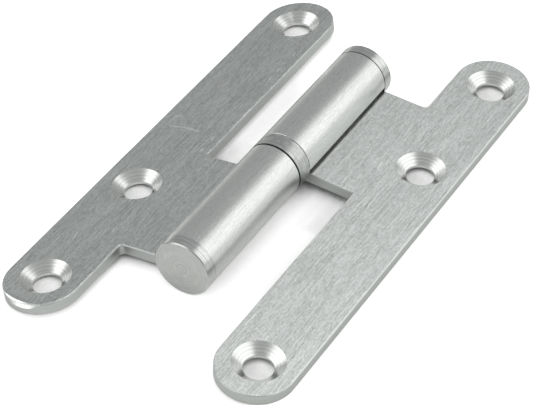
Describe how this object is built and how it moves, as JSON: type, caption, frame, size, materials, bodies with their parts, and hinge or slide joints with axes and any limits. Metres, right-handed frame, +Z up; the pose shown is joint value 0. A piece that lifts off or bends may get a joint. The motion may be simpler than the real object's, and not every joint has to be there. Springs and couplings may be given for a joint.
{
  "type": "lift-off butt hinge",
  "caption": "Stainless lift-off butt hinge: brushed leaves with rounded ends and countersunk holes, rolled knuckles, a bearing ring and turned end caps on a pin.",
  "frame": {"origin": "on the table under the middle of the barrel, at the centre of the open hinge", "axes": "+Y along the pin, the way the right leaf lifts off; +X towards the right leaf; +Z up, countersunk faces up"},
  "size_m": [0.0804, 0.142, 0.0155],
  "materials": {
    "brushed_leaf": "stainless sheet, brushed along the leaf",
    "turned_steel": "turned stainless bar, satin",
    "ground_pin": "ground stainless bar"
  },
  "bodies": {
    "fixed_leaf": {"left_leaf": "brushed_leaf", "hinge_pin": "ground_pin", "near_end_cap": "turned_steel"},
    "ring": {"bearing_ring": "turned_steel"},
    "lifting_leaf": {"right_leaf": "brushed_leaf", "far_end_cap": "turned_steel"}
  },
  "joints": [
    {"name": "leaf_swing", "type": "hinge", "parent": "fixed_leaf", "child": "ring", "pos_m": [0, 0, 0.00775], "axis": [0, 1, 0], "range_deg": [-190.1, 140]},
    {"name": "leaf_lift_off", "type": "slide", "parent": "ring", "child": "lifting_leaf", "axis": [0, 1, 0], "range_m": [0, 0.034]}
  ]
}
